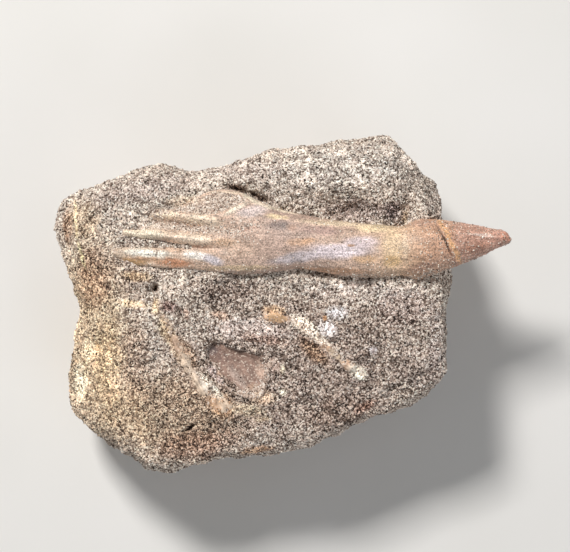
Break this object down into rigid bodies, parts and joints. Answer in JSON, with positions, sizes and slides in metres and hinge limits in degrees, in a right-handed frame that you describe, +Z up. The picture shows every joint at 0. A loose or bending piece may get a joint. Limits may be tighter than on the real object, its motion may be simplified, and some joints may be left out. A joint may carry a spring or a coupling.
{
  "type": "fossil rostral tooth in matrix",
  "caption": "Fossil sawfish rostral tooth lying in a loose sandstone block, its pointed crown past one edge and its furrowed root spread on the face.",
  "frame": {"origin": "middle of the whole object's bounding box, on the flat underside of the block", "axes": "+X along the tooth from its root to its tip, +Y across the block towards the side the tooth lies nearer, +Z up out of the face that carries the tooth"},
  "size_m": [0.0732, 0.054, 0.0282],
  "materials": {
    "sandstone": "matte",
    "fossil_tooth": "satin",
    "fossil_bone": "matte"
  },
  "bodies": {
    "root": {"stone_block": "sandstone", "rostral_tooth": "fossil_tooth", "bone_rim": "fossil_bone", "bone_sliver": "fossil_bone", "bone_plate": "fossil_bone"}
  },
  "joints": []
}
